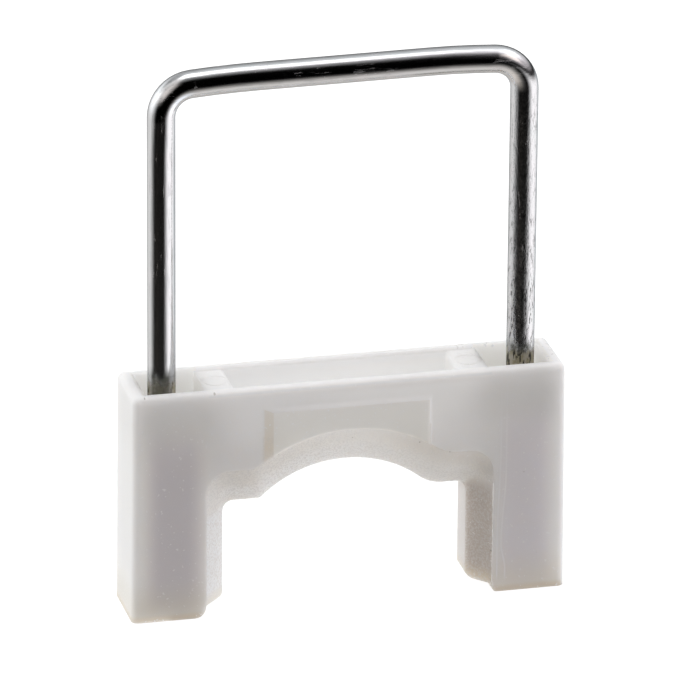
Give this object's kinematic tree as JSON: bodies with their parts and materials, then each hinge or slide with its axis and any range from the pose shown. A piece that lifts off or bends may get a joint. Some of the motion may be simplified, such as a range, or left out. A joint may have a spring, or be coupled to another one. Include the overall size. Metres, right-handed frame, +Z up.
{
  "type": "cable staple",
  "caption": "White plastic saddle that bridges a flat or round cable, with a round steel wire staple that slides down through its legs when it is hammered home.",
  "frame": {"origin": "middle of the two feet, on the plane that they stand on", "axes": "+X across the cable from the left leg to the right leg, +Y along the cable from the front face to the back face, +Z up, from the feet to the crown of the staple"},
  "size_m": [0.0254, 0.005, 0.0325],
  "materials": {
    "white_plastic": "moulded, satin gloss, slightly translucent",
    "zinc_steel": "bright zinc plate on drawn wire"
  },
  "bodies": {
    "saddle_body": {"saddle": "white_plastic"},
    "staple_body": {"wire_staple": "zinc_steel"}
  },
  "joints": [
    {"name": "drive_in", "type": "slide", "parent": "saddle_body", "child": "staple_body", "axis": [0, 0, -1], "range_m": [0, 0.01705]}
  ]
}
